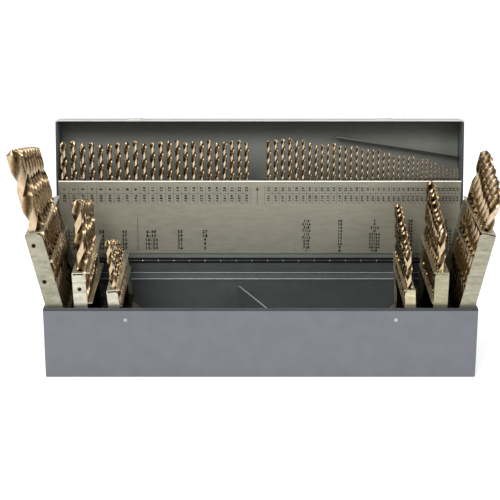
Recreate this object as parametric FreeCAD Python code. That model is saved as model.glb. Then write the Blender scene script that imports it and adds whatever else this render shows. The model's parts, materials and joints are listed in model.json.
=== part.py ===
import FreeCAD, Part
import math
import os

from FreeCAD import Vector

# Folding drill index, hinged lid open and racks standing.
# Millimetres. X to the right, Y to the back, Z up.
# The origin is the middle of the tray's underside.

# Standard drill sizes, each as a share of one inch
inch = 25.4
number_inch_shares = (
    0.2280, 0.2210, 0.2130, 0.2090, 0.2055, 0.2040, 0.2010, 0.1990, 0.1960, 0.1935,
    0.1910, 0.1890, 0.1850, 0.1820, 0.1800, 0.1770, 0.1730, 0.1695, 0.1660, 0.1610,
    0.1590, 0.1570, 0.1540, 0.1520, 0.1495, 0.1470, 0.1440, 0.1405, 0.1360, 0.1285,
    0.1200, 0.1160, 0.1130, 0.1110, 0.1100, 0.1065, 0.1040, 0.1015, 0.0995, 0.0980,
    0.0960, 0.0935, 0.0890, 0.0860, 0.0820, 0.0810, 0.0785, 0.0760, 0.0730, 0.0700,
    0.0670, 0.0635, 0.0595, 0.0550, 0.0520, 0.0465, 0.0430, 0.0420, 0.0410, 0.0400,
)
letter_inch_shares = (
    0.234, 0.238, 0.242, 0.246, 0.250, 0.257, 0.261, 0.266, 0.272, 0.277, 0.281, 0.290, 0.295,
    0.302, 0.316, 0.323, 0.332, 0.339, 0.348, 0.358, 0.368, 0.377, 0.386, 0.397, 0.404, 0.413,
)
inch_part_count = 64
outer_top_count, middle_top_count, inner_top_count, inner_low_count = 32, 24, 14, 4
inner_letter_count, middle_letter_count = 9, 18

# Drill lengths grow with the diameter, at one rate in each of three ranges, in whole steps
length_step = 3.175
eighth_drill = 3.175
eighth_drill_length = 69.85
quarter_drill = 6.35
quarter_drill_length = 101.6
large_growth_share, middle_growth_share, small_growth_share = 8, 10, 13.2
point_angle = 118
number_sides, rack_sides, pin_sides = 6, 8, 8

# Sheet steel
sheet = 0.9
hem = 6.4
bend_radius = 1.4
bend_share = 0.7
running_gap = 0.05
air_gap = 0.3
overrun = 5.0
straight_share = 0.999

# Tray
tray_height = 63.5
bead = 1.2
bead_rise = 0.2
dimple_radius = 3.0
dimple_depth = 0.5
dimple_drop = 9.6
dimple_offset = 118.5

# Oblique divider between the left and right racks
divider_drop = 24.8
divider_rear_x = -20.0
divider_front_x = 36.0
divider_tab = 9.0

# Lid, drawn shut and then swung open
lid_side_gap = 1.2
lid_front_gap = 1.2
lid_rise = 15.6
lid_overlap = 13.0
lid_lean_angle = 11.4
lid_radius = 2.4
bump_offset = 117.2
bump_length = 15.6
bump_rise = 1.5
bump_height = 6.0
bump_slope = 1.2
strip_inner_x = 73.0
strip_inner_reach = 120.0
strip_outer_x = 189.2
strip_outer_reach = 102.2
strip_stand = 11.0
strip_flange = 16.0

# Piano hinges of the lid and of the number panel
hinge_sheet = 0.8
hinge_barrel = 1.1
hinge_pin = 0.6
hinge_margin = 3.0
knuckle_count = 11
knuckle_gap = 0.3
lid_leaf = 11.0
panel_axis_inset = 2.275
panel_tray_leaf = 17.5
panel_leaf_step = 10.8
panel_leaf = 14.0

# Number panel, a channel that stands in front of the lid
panel_side_gap = 1.0
panel_top = 80.8
panel_bottom = 9.3
panel_flange = 10.0
panel_front_inset = 1.0
number_row_inset = 5.3
number_row_left, number_row_right = 5.23, 3.23
number_gap = 2.18
number_gap_share = 0.1825
spare_gap = 13.92
spare_count = 23
stop_left = 21.5
stop_break_x = 75.0
stop_right = 50.0
stop_lip = 5.0

# Racks: tiers from the side wall to the middle of the tray
rack_front_inset, rack_rear_inset = 6.0, 16.65
rack_drill_gap = 1.773
rack_sheet = 0.9
outer_top, middle_top, inner_top = 68.5, 32.2, 16.2
outer_guide_drop, middle_guide_drop, inner_guide_drop = 28.6, 28.0, 15.2
outer_pivot_drop, middle_pivot_drop, inner_pivot_drop = 12.0, 30.5, 47.0
left_outer_side, left_middle_side, left_inner_side = 11.2, 35.0, 63.0
right_outer_side, right_middle_side, right_inner_side = 9.3, 33.35, 59.2
left_outer_width, left_middle_width, left_inner_width = 17.6, 16.1, 11.8
right_outer_width, right_middle_width, right_inner_width = 13.8, 13.5, 9.8
left_outer_inset, left_middle_inset, left_inner_inset = 3.0, 4.4, 2.1
right_outer_inset, right_middle_inset, right_inner_inset = 0.4, 1.3, 0.5
left_outer_plate_drop, left_middle_plate_drop, left_inner_plate_drop = 1.0, 2.2, 2.2
right_outer_plate_drop, right_middle_plate_drop, right_inner_plate_drop = 2.0, 1.2, 1.0
left_outer_stop_front, left_outer_stop_rear = 8.4, 7.0
left_middle_stop_front, left_middle_stop_rear = 31.0, 30.0
left_inner_stop_front, left_inner_stop_rear = 35.5, 26.5
right_outer_stop_front, right_outer_stop_rear = 16.5, 13.8
right_middle_stop_front, right_middle_stop_rear = 38.0, 33.4
right_inner_stop_front, right_inner_stop_rear = 48.0, 39.5
left_outer_lean_angle, left_middle_lean_angle, left_inner_lean_angle = 13.5, 2.0, 5.5
right_outer_lean_angle, right_middle_lean_angle, right_inner_lean_angle = 13.0, 1.0, -2.5
rack_end_margin = 3.0
hole_gap = 0.25
guide_lip = 5.0
rack_stop_lip = 3.0
stop_side_gap = 0.6
stop_end_inset = 2.4
pivot_lug = 5.0
left_outer_corner, left_middle_corner, other_corner = 5.6, 4.0, 3.0
lug_sides, corner_sides = 6, 3
plate_hole = 2.0
left_outer_hole_drops, left_middle_hole_drops = (10.1, 44.1), (13.0,)
left_outer_hole_shift, left_middle_hole_shift = 2.0, 0.0

# Pivot brackets and pins
bracket_sheet = 1.2
bracket_reach = 8.0
bracket_toe = 10.5
bracket_toe_rise = 3.0
bracket_foot = 11.0
pivot_pin = 2.0
pivot_head = 3.5
pivot_head_length = 1.0

rim = tray_height
X_AXIS = Vector(1, 0, 0)
Y_AXIS = Vector(0, 1, 0)
Z_AXIS = Vector(0, 0, 1)
ORIGIN = Vector(0, 0, 0)


def box(low, high):
    """Block between two opposite corners."""
    size = Vector(*high) - Vector(*low)
    return Part.makeBox(size.x, size.y, size.z, Vector(*low))


def prism(points, push):
    """Closed outline pushed along a vector."""
    corners = [Vector(*point) for point in points]
    return Part.Face(Part.makePolygon(corners + corners[:1])).extrude(push)


def join(shapes):
    return shapes[0].multiFuse(shapes[1:]).removeSplitter()


def round_edges(shape, radius, chosen):
    """Fillet the edges that a test picks."""
    return shape.makeFillet(radius, [edge for edge in shape.Edges if chosen(edge)])


def along(edge, axis):
    """True where a straight edge runs along an axis."""
    ends = [vertex.Point for vertex in edge.Vertexes]
    return len(ends) == 2 and abs((ends[1] - ends[0]).normalize().dot(axis)) > straight_share


def save(name, shape):
    shape.exportStep(os.path.join("parts", name + ".step"))


def fraction_sizes(low, high):
    """Fractional drills from large to small."""
    return [inch * part / inch_part_count for part in range(high, low, -1)]


def letter_sizes(first, last):
    return [inch * share for share in letter_inch_shares[first:last]]


def number_step(size, next_size):
    """Distance between two neighbours in the number row."""
    return number_gap + (size + next_size) / 2 * (1 + number_gap_share)


# Lengths that follow from the drills: the racks and the number row set the case
outer_sizes = fraction_sizes(middle_top_count, outer_top_count)
number_sizes = [share * inch for share in number_inch_shares]
rack_length = sum(outer_sizes) + (len(outer_sizes) - 1) * rack_drill_gap + 2 * (rack_sheet + rack_end_margin)
number_row_span = spare_gap + sum(map(number_step, number_sizes, number_sizes[1:]))
panel_width = number_row_left + number_row_span + number_row_right
half_width = panel_width / 2 + panel_side_gap
half_depth = (rack_front_inset + rack_length + rack_rear_inset) / 2
leaf_half = panel_width / 2 - hinge_margin
lid_axis = Vector(0, half_depth + hinge_barrel + air_gap, rim - hinge_barrel)
panel_axis = Vector(0, half_depth - panel_axis_inset, rim + hinge_barrel + air_gap)


def drill_length(diameter):
    """Overall length of a jobber drill."""
    if diameter >= quarter_drill:
        length = quarter_drill_length + large_growth_share * (diameter - quarter_drill)
    elif diameter >= eighth_drill:
        length = eighth_drill_length + middle_growth_share * (diameter - eighth_drill)
    else:
        length = eighth_drill_length - small_growth_share * (eighth_drill - diameter)
    return length_step * round(length / length_step)


def ring_points(radius, sides, x, y, z):
    """Corners of a regular outline, level, about one centre."""
    turns = [2 * math.pi * (step + 0.5) / sides for step in range(sides)]
    return [(x + radius * math.cos(turn), y + radius * math.sin(turn), z) for turn in turns]


def bar(radius, start, end):
    """Many-sided bar of a small pin, rivet or barrel."""
    run = Vector(*end) - Vector(*start)
    solid = prism(ring_points(radius, pin_sides, 0, 0, 0), Vector(0, 0, run.Length))
    solid.Placement = FreeCAD.Placement(Vector(*start), FreeCAD.Rotation(Z_AXIS, run))
    return solid


def bore(radius, start, end):
    """Cutter whose flats clear a pin of the radius."""
    return bar(radius / math.cos(math.pi / pin_sides), start, end)


def drill(diameter, sides, x, y, z):
    """Straight drill standing on its shank, with a pointed tip."""
    length = drill_length(diameter)
    radius = diameter / 2
    point = radius / math.tan(math.radians(point_angle / 2))
    body = prism(ring_points(radius, sides, x, y, z), Vector(0, 0, length - point))
    corners = [Vector(*spot) for spot in ring_points(radius, sides, x, y, z + length - point)]
    base = Part.makePolygon(corners + corners[:1])
    tip = Part.makeLoft([base, Part.Vertex(x, y, z + length)], True, True)
    return body.fuse(tip).removeSplitter()


def hole(diameter, sides, x, y, z, depth):
    """Cutter for the hole that a drill stands in."""
    corners = ring_points(diameter / 2 + hole_gap, sides, x, y, z - overrun)
    return prism(corners, Vector(0, 0, depth + 2 * overrun))


def chamfer_edges(shape, size, chosen):
    """Chamfer the edges that a test picks."""
    return shape.makeChamfer(size, [edge for edge in shape.Edges if chosen(edge)])


def open_pan(low, high, wall, radius):
    """Sheet pan, open at the top, with rounded vertical and floor corners."""
    outer = box(low, high)
    inner = box((low[0] + wall, low[1] + wall, low[2] + wall),
                (high[0] - wall, high[1] - wall, high[2] + overrun))
    outer = round_edges(outer, radius, lambda edge: along(edge, Z_AXIS))
    outer = chamfer_edges(outer, wall * bend_share, lambda edge: edge.BoundBox.ZMax < low[2] + wall / 2)
    return outer.cut(inner)


def hem_ring(low, high, wall, drop, radius):
    """Sheet folded over inside the free edge of a pan."""
    outer = box((low[0] + wall / 2, low[1] + wall / 2, high[2] - drop),
                (high[0] - wall / 2, high[1] - wall / 2, high[2]))
    inner = box((low[0] + 2 * wall, low[1] + 2 * wall, high[2] - drop - overrun),
                (high[0] - 2 * wall, high[1] - 2 * wall, high[2] + overrun))
    outer = round_edges(outer, radius - wall / 2, lambda edge: along(edge, Z_AXIS))
    return outer.cut(inner)


def tray_shell():
    """Pan with a folded hem all round and a rolled bead along the front rim."""
    low = (-half_width, -half_depth, 0)
    high = (half_width, half_depth, rim)
    end = Vector(half_width - bend_radius, bead - half_depth, rim + bead_rise)
    roll = bar(bead, (-end.x, end.y, end.z), tuple(end))
    pan = open_pan(low, high, sheet, bend_radius)
    shell = join([pan, hem_ring(low, high, sheet, hem, bend_radius), roll])
    for side in (-1, 1):
        shell = shell.cut(dimple(side * dimple_offset))
    return shell


def dimple(x):
    """Shallow pit pressed into the tray's front wall."""
    z = rim - dimple_drop
    mouth = outline_xz(x, z, dimple_radius * 1.5, dimple_radius * 1.5, -half_depth - dimple_depth)
    pit = outline_xz(x, z, dimple_radius / 2, dimple_radius / 2, -half_depth + dimple_depth)
    return Part.makeLoft([mouth, pit], True, True)


def outline_xz(x, z, half_long, half_high, y):
    """Eight-cornered oblong in a wall that faces the front."""
    cut = half_high / 2
    corners = [(half_long - cut, half_high), (half_long, half_high - cut), (half_long, cut - half_high),
               (half_long - cut, -half_high), (cut - half_long, -half_high), (-half_long, cut - half_high),
               (-half_long, half_high - cut), (cut - half_long, half_high)]
    ring = [Vector(x + across, y, z + up) for across, up in corners]
    return Part.makePolygon(ring + ring[:1])


def center_divider():
    """Upright plate across the tray on a slant, with a tab on each wall."""
    inner_depth = half_depth - sheet
    top = rim - divider_drop
    run = Vector(divider_front_x - divider_rear_x, -2 * inner_depth, 0)
    across = Vector(-run.y, run.x, 0).normalize() * sheet
    start = Vector(divider_rear_x, inner_depth, sheet) - run
    corners = [start, start + run * 3, start + run * 3 + across, start + across]
    plate = prism([tuple(corner) for corner in corners], Vector(0, 0, top - sheet))
    plate = plate.common(box((-half_width, -inner_depth, sheet), (half_width, inner_depth, top)))
    rear_tab = box((divider_rear_x - divider_tab, inner_depth - sheet, sheet),
                   (divider_rear_x + sheet, inner_depth, top))
    front_tab = box((divider_front_x - sheet, -inner_depth, sheet),
                    (divider_front_x + divider_tab, -inner_depth + sheet, top))
    return join([plate, rear_tab, front_tab])


def opened(shape):
    """Swing a piece of the shut lid to where the lid stands open."""
    shape.rotate(lid_axis, X_AXIS, -90 - lid_lean_angle)
    return shape


lid_half_width = half_width + lid_side_gap + sheet
lid_front = -half_depth - lid_front_gap - sheet
lid_roof = rim + lid_rise


def lid_shell():
    """Pan over the tray, with a shorter wall at the hinge."""
    low = (-lid_half_width, lid_front, rim - lid_overlap)
    high = (lid_half_width, half_depth, lid_roof)
    flip = Vector(0, 0, -1)
    upside = [(low[0], low[1], -high[2]), (high[0], high[1], -low[2])]
    pan = join([open_pan(*upside, sheet, lid_radius), hem_ring(*upside, sheet, hem, lid_radius)])
    pan = pan.mirror(ORIGIN, flip)
    rear_cut = box((-half_width - lid_side_gap, half_depth - 2 * sheet - overrun, low[2] - overrun),
                   (half_width + lid_side_gap, half_depth + overrun, rim + air_gap))
    pan = pan.cut(rear_cut)
    for side in (-1, 1):
        pan = pan.fuse(emboss(side, 0)).cut(emboss(side, sheet / 2))
    return opened(pan.removeSplitter())


def emboss(side, inset):
    """Oblong bump pressed out of the lid's front wall, inset all round by the sheet for its hollow."""
    y = lid_front + inset
    z = rim - dimple_drop
    half_long = bump_length / 2 - inset
    half_high = bump_height / 2 - inset
    foot = outline_xz(side * bump_offset, z, half_long, half_high, y + sheet - inset)
    crown = outline_xz(side * bump_offset, z, half_long - bump_slope, half_high - bump_slope, y - bump_rise)
    return Part.makeLoft([foot, crown], True, True)


def lid_stop_strip():
    """Angle strip on the lid that keeps the number drills from sliding out."""
    roof = lid_roof - sheet
    inner = Vector(strip_inner_x, lid_axis.y - strip_inner_reach, roof)
    outer = Vector(strip_outer_x, lid_axis.y - strip_outer_reach, roof)
    run = outer - inner
    side = Vector(-run.y, run.x, 0).normalize()
    leg = prism([tuple(inner), tuple(outer), tuple(outer + side * sheet), tuple(inner + side * sheet)],
                Vector(0, 0, -strip_stand))
    base = prism([tuple(inner), tuple(outer), tuple(outer + side * strip_flange),
                  tuple(inner + side * strip_flange)], Vector(0, 0, -sheet))
    return opened(join([leg, base]))


def knuckle_spans(first):
    """Start and end of every second barrel of a hinge."""
    pitch = 2 * leaf_half / knuckle_count
    return [(-leaf_half + index * pitch, -leaf_half + (index + 1) * pitch)
            for index in range(first, knuckle_count, 2)]


def hinge_leaf(axis, first, plates):
    """Leaf with its barrels, bored for the pin and notched round the other leaf's barrels."""
    half_gap = knuckle_gap / 2
    reach = hinge_barrel + air_gap
    barrels = [bar(hinge_barrel, (low + half_gap, axis.y, axis.z), (high - half_gap, axis.y, axis.z))
               for low, high in knuckle_spans(first)]
    notches = [box((low - half_gap, axis.y - reach - sheet, axis.z - reach),
                   (high + half_gap, axis.y + reach + sheet, axis.z + reach))
               for low, high in knuckle_spans(1 - first)]
    leaf = join(plates + barrels).cut(Part.makeCompound(notches))
    ends = (-leaf_half - overrun, leaf_half + overrun)
    return leaf.cut(bore(hinge_pin + running_gap, (ends[0], axis.y, axis.z), (ends[1], axis.y, axis.z)))


def hinge_rod(axis):
    """Wire pin through all the barrels of a hinge."""
    return bar(hinge_pin, (-leaf_half, axis.y, axis.z), (leaf_half, axis.y, axis.z))


def lid_hinge_tray_leaf():
    low = (-leaf_half, half_depth, lid_axis.z - lid_leaf)
    return hinge_leaf(lid_axis, 0, [box(low, (leaf_half, half_depth + hinge_sheet, lid_axis.z))])


def lid_hinge_lid_leaf():
    low = (-leaf_half, half_depth, lid_axis.z)
    high = (leaf_half, half_depth + hinge_sheet, lid_axis.z + lid_leaf)
    return opened(hinge_leaf(lid_axis, 1, [box(low, high)]))


def panel_hinge_tray_leaf():
    """Leaf inside the rear wall, stepped back to the wall below the hem."""
    wall = half_depth - 2 * sheet
    lower = half_depth - sheet
    step = rim - panel_leaf_step
    upper = box((-leaf_half, wall - hinge_sheet, step), (leaf_half, wall, panel_axis.z))
    bend = box((-leaf_half, wall - hinge_sheet, step), (leaf_half, lower, step + hinge_sheet))
    toe = (-leaf_half, lower - hinge_sheet, rim - panel_tray_leaf)
    foot = box(toe, (leaf_half, lower, step + hinge_sheet))
    return hinge_leaf(panel_axis, 0, [upper, bend, foot])


panel_front = panel_axis.y - panel_front_inset
panel_back = panel_front + sheet


def panel_hinge_panel_leaf():
    low = (-leaf_half, panel_back, panel_axis.z)
    high = (leaf_half, panel_back + hinge_sheet, panel_axis.z + panel_leaf)
    return hinge_leaf(panel_axis, 1, [box(low, high)])


def number_row():
    """Diameter and X of each number drill, with one wider gap for the spare hole."""
    x = number_row_left - panel_width / 2
    row = []
    for size, next_size in zip(number_sizes, number_sizes[1:] + number_sizes[-1:]):
        row.append((size, x))
        x += number_step(size, next_size) + (spare_gap if len(row) == spare_count else 0)
    return row


def stop_height(x):
    """Height of the number drills' stop above the rim at one X."""
    share = min(1, (x + panel_width / 2) / (stop_break_x + panel_width / 2))
    return stop_left + (stop_right - stop_left) * share


number_y = panel_front + number_row_inset


def number_panel():
    """Channel with the chart face to the front and a drilled flange along its top."""
    half = panel_width / 2
    low = rim + panel_bottom
    top = rim + panel_top
    back = panel_front + panel_flange
    web = box((-half, panel_front, low), (half, panel_back, top))
    flange = box((-half, panel_front, top - sheet), (half, back, top))
    ends = [box((min(x, x + turn * sheet), panel_front, low + hem), (max(x, x + turn * sheet), back, top))
            for x, turn in ((-half, 1), (half, -1))]
    panel = join([web, flange] + ends)
    panel = chamfer_edges(panel, sheet * bend_share, lambda edge: along(edge, X_AXIS)
                        and abs(edge.BoundBox.ZMax - top) < sheet / 2
                        and abs(edge.BoundBox.YMax - panel_front) < sheet / 2)
    cutters = [hole(size, number_sides, x, number_y, top - sheet, sheet) for size, x in number_row()]
    return panel.cut(Part.makeCompound(cutters))


def number_stop():
    """Bent strip inside the channel that the number drills stand on."""
    half = panel_width / 2 - sheet - air_gap
    line = [(-half, stop_height(-half)), (stop_break_x, stop_right), (half, stop_right)]
    crest = [(x, panel_back, rim + z) for x, z in line]
    shelf = crest + [(x, y, z - sheet) for x, y, z in crest[::-1]]
    lip = crest + [(x, y, z - stop_lip) for x, y, z in crest[::-1]]
    depth = panel_flange - 2 * sheet
    return join([prism(shelf, Vector(0, depth, 0)), prism(lip, Vector(0, sheet, 0))])


def number_drills(first, last):
    drills = []
    for size, x in number_row()[first:last]:
        z = rim + max(stop_height(x - size / 2), stop_height(x + size / 2))
        drills.append(drill(size, number_sides, x, number_y, z))
    return Part.makeCompound(drills)


class Rack:
    """Sizes of one folding rack, in its own frame: X inward, Z up its axis, pivot at zero."""

    def __init__(self, name, side, side_inset, top, guide_drop, pivot_drop, width, inset, plate_drop,
                 stop_front, stop_rear, lean, sizes, corner=other_corner, hole_drops=(), hole_shift=0):
        self.name = name
        self.side = side
        self.lean = lean
        self.corner = corner
        self.hole_drops = hole_drops
        self.hole_shift = hole_shift
        self.half = width / 2
        self.plate = width / 2 - inset
        slope = math.radians(lean)
        self.rim = pivot_drop / math.cos(slope)
        self.top = self.rim + top / math.cos(slope)
        self.guide = self.top - guide_drop
        self.plate_top = self.top - plate_drop
        self.stops = (self.rim - stop_front, self.rim - stop_rear)
        reach = half_width - side_inset - pivot_drop * math.tan(slope)
        self.pivot = Vector(side * reach, 0, rim - pivot_drop)
        self.sizes = sizes
        self.front = -half_depth + rack_front_inset
        self.back = self.front + rack_length

    def placed(self, shape):
        """Stand a piece at its lean, on its pivot, on its side of the tray."""
        if self.side > 0:
            shape = shape.mirror(ORIGIN, X_AXIS)
        shape.rotate(ORIGIN, Y_AXIS, self.side * self.lean)
        shape.translate(self.pivot)
        return shape

    def stop_height(self, y):
        share = (y - self.front) / rack_length
        return self.stops[0] + (self.stops[1] - self.stops[0]) * share

    def spots(self):
        """Diameter and Y of each drill, with equal gaps along the rack."""
        free = rack_length - 2 * (rack_sheet + rack_end_margin) - sum(self.sizes)
        gap = free / (len(self.sizes) - 1)
        y = self.front + rack_sheet + rack_end_margin
        places = []
        for size in self.sizes:
            places.append((size, y + size / 2))
            y += size + gap
        return places


RACKS = [
    Rack("left_outer", -1, left_outer_side, outer_top, outer_guide_drop, outer_pivot_drop,
         left_outer_width, left_outer_inset, left_outer_plate_drop,
         left_outer_stop_front, left_outer_stop_rear, left_outer_lean_angle,
         outer_sizes, left_outer_corner, left_outer_hole_drops, left_outer_hole_shift),
    Rack("left_middle", -1, left_middle_side, middle_top, middle_guide_drop, middle_pivot_drop,
         left_middle_width, left_middle_inset, left_middle_plate_drop,
         left_middle_stop_front, left_middle_stop_rear, left_middle_lean_angle,
         fraction_sizes(inner_top_count, middle_top_count),
         left_middle_corner, left_middle_hole_drops, left_middle_hole_shift),
    Rack("left_inner", -1, left_inner_side, inner_top, inner_guide_drop, inner_pivot_drop,
         left_inner_width, left_inner_inset, left_inner_plate_drop,
         left_inner_stop_front, left_inner_stop_rear, left_inner_lean_angle,
         fraction_sizes(inner_low_count - 1, inner_top_count)),
    Rack("right_outer", 1, right_outer_side, outer_top, outer_guide_drop, outer_pivot_drop,
         right_outer_width, right_outer_inset, right_outer_plate_drop,
         right_outer_stop_front, right_outer_stop_rear, right_outer_lean_angle,
         letter_sizes(middle_letter_count, len(letter_inch_shares))),
    Rack("right_middle", 1, right_middle_side, middle_top, middle_guide_drop, middle_pivot_drop,
         right_middle_width, right_middle_inset, right_middle_plate_drop,
         right_middle_stop_front, right_middle_stop_rear, right_middle_lean_angle,
         letter_sizes(inner_letter_count, middle_letter_count)),
    Rack("right_inner", 1, right_inner_side, inner_top, inner_guide_drop, inner_pivot_drop,
         right_inner_width, right_inner_inset, right_inner_plate_drop,
         right_inner_stop_front, right_inner_stop_rear, right_inner_lean_angle,
         letter_sizes(0, inner_letter_count)),
]


def end_plate(rack, y):
    """Rack's end: a plate that narrows to a round lug about the pivot, with its top corner rounded."""
    shoulder = pivot_lug + rack_sheet
    turns = [math.pi * (1 + step / lug_sides) for step in range(lug_sides + 1)]
    lug = [(pivot_lug * math.cos(turn), y, pivot_lug * math.sin(turn)) for turn in turns]
    radius = min(rack.corner, rack.plate)
    turns = [math.pi / 2 * step / corner_sides for step in range(corner_sides + 1)]
    corner = [(rack.plate - radius * (1 - math.cos(turn)), y, rack.plate_top - radius * (1 - math.sin(turn)))
              for turn in turns]
    outer_edge = [(-rack.half, y, rack.plate_top), (-rack.half, y, shoulder)]
    plate = prism(lug + [(rack.plate, y, shoulder)] + corner + outer_edge, Vector(0, rack_sheet, 0))
    ends = (y - overrun, y + overrun)
    plate = plate.cut(bore(pivot_pin + running_gap, (0, ends[0], 0), (0, ends[1], 0)))
    middle = (rack.plate - rack.half) / 2 - rack.hole_shift
    for z in [rack.plate_top - drop for drop in rack.hole_drops]:
        plate = plate.cut(bar(plate_hole, (middle, ends[0], z), (middle, ends[1], z)))
    return plate


def rack_channel(rack):
    """Web on the outer side, drilled flange on top and an end plate at each end."""
    web = box((-rack.half, rack.front, min(rack.stops) - rack_stop_lip),
              (-rack.half + rack_sheet, rack.back, rack.top))
    flange = box((-rack.half, rack.front, rack.top - rack_sheet), (rack.half, rack.back, rack.top))
    flanged = join([web, flange])
    flanged = chamfer_edges(flanged, rack_sheet * bend_share, lambda edge: along(edge, Y_AXIS)
                          and edge.BoundBox.ZMax > rack.top - rack_sheet / 2
                          and edge.BoundBox.XMax < -rack.half + rack_sheet / 2)
    channel = join([flanged, end_plate(rack, rack.front), end_plate(rack, rack.back - rack_sheet)])
    cutters = [hole(size, rack_sides, 0, y, rack.top - rack_sheet, rack_sheet) for size, y in rack.spots()]
    return rack.placed(channel.cut(Part.makeCompound(cutters)))


def rack_guide(rack):
    """Second drilled flange, with a lip on the inside of the web."""
    inside = -rack.half + rack_sheet
    front = rack.front + rack_sheet
    back = rack.back - rack_sheet
    shelf = box((inside, front, rack.guide - rack_sheet), (rack.half, back, rack.guide))
    lip = box((inside, front, rack.guide - guide_lip), (inside + rack_sheet, back, rack.guide))
    cutters = [hole(size, rack_sides, 0, y, rack.guide - rack_sheet, rack_sheet)
               for size, y in rack.spots()]
    return rack.placed(join([shelf, lip]).cut(Part.makeCompound(cutters)))


def rack_stop(rack):
    """Strip at the bottom of the rack that the shanks stand on."""
    inside = -rack.half + rack_sheet
    front = rack.front + stop_end_inset
    back = rack.back - stop_end_inset
    heights = (rack.stop_height(front), rack.stop_height(back))
    shelf = [(inside, front, heights[0]), (inside, back, heights[1]),
             (inside, back, heights[1] - rack_sheet), (inside, front, heights[0] - rack_sheet)]
    lip = [(inside, front, heights[0]), (inside, back, heights[1]),
           (inside, back, heights[1] - rack_stop_lip), (inside, front, heights[0] - rack_stop_lip)]
    reach = rack.half - stop_side_gap - inside
    pieces = [prism(shelf, Vector(reach, 0, 0)), prism(lip, Vector(rack_sheet, 0, 0))]
    return rack.placed(join(pieces))


def rack_drills(rack):
    drills = []
    for size, y in rack.spots():
        z = max(rack.stop_height(y - size / 2), rack.stop_height(y + size / 2))
        drills.append(drill(size, rack_sides, 0, y, z))
    return rack.placed(Part.makeCompound(drills))


def bracket(side, y, turn):
    """Folded plate on the tray floor that carries one end of three racks."""
    outer, middle, inner = [rack.pivot for rack in RACKS if rack.side == side]
    points = [(outer.x + side * bracket_reach, sheet),
              (outer.x + side * bracket_reach, outer.z + bracket_reach),
              (outer.x - side * bracket_reach, outer.z + bracket_reach),
              (inner.x - side * bracket_reach, inner.z + bracket_reach),
              (inner.x - side * bracket_toe, inner.z + bracket_toe_rise),
              (inner.x - side * bracket_toe, sheet)]
    plate = prism([(x, y, z) for x, z in points], Vector(0, bracket_sheet, 0))
    near = y if turn > 0 else y + bracket_sheet - bracket_foot
    lows = sorted((points[0][0], points[-1][0]))
    foot = box((lows[0], near, sheet), (lows[1], near + bracket_foot, sheet + bracket_sheet))
    solid = join([plate, foot])
    for pivot in (outer, middle, inner):
        solid = solid.cut(bar(pivot_pin, (pivot.x, y - overrun, pivot.z), (pivot.x, y + overrun, pivot.z)))
    return solid


front_bracket_y = -half_depth + rack_front_inset - air_gap - bracket_sheet
rear_bracket_y = -half_depth + rack_front_inset + rack_length + air_gap


def pivot_pins(rack):
    """Headed pins at both ends of a rack, fixed in the brackets."""
    pins = []
    for face, turn in ((front_bracket_y, 1), (rear_bracket_y + bracket_sheet, -1)):
        start = (rack.pivot.x, face, rack.pivot.z)
        length = bracket_sheet + air_gap + 1.5 * rack_sheet
        end = (rack.pivot.x, face + turn * length, rack.pivot.z)
        head = (rack.pivot.x, face - turn * pivot_head_length, rack.pivot.z)
        pins.append(join([bar(pivot_pin, start, end), bar(pivot_head, head, start)]))
    return Part.makeCompound(pins)


def main():
    os.makedirs("parts", exist_ok=True)
    save("tray_shell", tray_shell())
    save("center_divider", center_divider())
    save("lid_shell", lid_shell())
    save("lid_stop_strip", lid_stop_strip())
    save("lid_hinge_tray_leaf", lid_hinge_tray_leaf())
    save("lid_hinge_lid_leaf", lid_hinge_lid_leaf())
    save("lid_hinge_pin", hinge_rod(lid_axis))
    save("panel_hinge_tray_leaf", panel_hinge_tray_leaf())
    save("panel_hinge_panel_leaf", panel_hinge_panel_leaf())
    save("panel_hinge_pin", hinge_rod(panel_axis))
    save("number_panel", number_panel())
    save("number_stop", number_stop())
    save("number_drills_left", number_drills(0, spare_count))
    save("number_drills_right", number_drills(spare_count, len(number_inch_shares)))
    for side, label in ((-1, "left"), (1, "right")):
        save(label + "_front_bracket", bracket(side, front_bracket_y, 1))
        save(label + "_rear_bracket", bracket(side, rear_bracket_y, -1))
    for rack in RACKS:
        save(rack.name + "_channel", rack_channel(rack))
        save(rack.name + "_guide", rack_guide(rack))
        save(rack.name + "_stop", rack_stop(rack))
        save(rack.name + "_drills", rack_drills(rack))
        save(rack.name + "_pivot_pins", pivot_pins(rack))


main()
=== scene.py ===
import json
import math
import random

import bpy
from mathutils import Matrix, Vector


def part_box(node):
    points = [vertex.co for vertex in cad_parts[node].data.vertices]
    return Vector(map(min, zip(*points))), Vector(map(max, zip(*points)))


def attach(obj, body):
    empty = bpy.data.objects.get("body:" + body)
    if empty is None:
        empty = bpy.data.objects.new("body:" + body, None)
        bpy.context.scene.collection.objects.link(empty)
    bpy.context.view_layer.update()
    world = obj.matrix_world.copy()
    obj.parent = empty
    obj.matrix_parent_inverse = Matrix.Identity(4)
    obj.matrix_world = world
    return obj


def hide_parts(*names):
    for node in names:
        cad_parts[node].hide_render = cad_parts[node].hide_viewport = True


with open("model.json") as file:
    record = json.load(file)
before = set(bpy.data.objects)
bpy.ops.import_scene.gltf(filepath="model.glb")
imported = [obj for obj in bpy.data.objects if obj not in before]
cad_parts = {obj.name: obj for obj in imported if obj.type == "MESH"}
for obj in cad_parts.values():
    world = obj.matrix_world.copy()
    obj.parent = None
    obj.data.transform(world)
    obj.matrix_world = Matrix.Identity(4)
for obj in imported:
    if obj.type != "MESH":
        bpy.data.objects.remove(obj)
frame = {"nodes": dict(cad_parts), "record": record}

MM = 0.001
INCH = 25.4 * MM
TURN = 2 * math.pi
random.seed(7)


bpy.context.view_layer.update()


# Shader building blocks

def srgb(r, g, b):
    """Linear colour of an 8-bit screen colour, by the sRGB curve."""
    def linear(value):
        value /= 255
        return value / 12.92 if value <= 0.04045 else ((value + 0.055) / 1.055) ** 2.4
    return (linear(r), linear(g), linear(b), 1.0)


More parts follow.
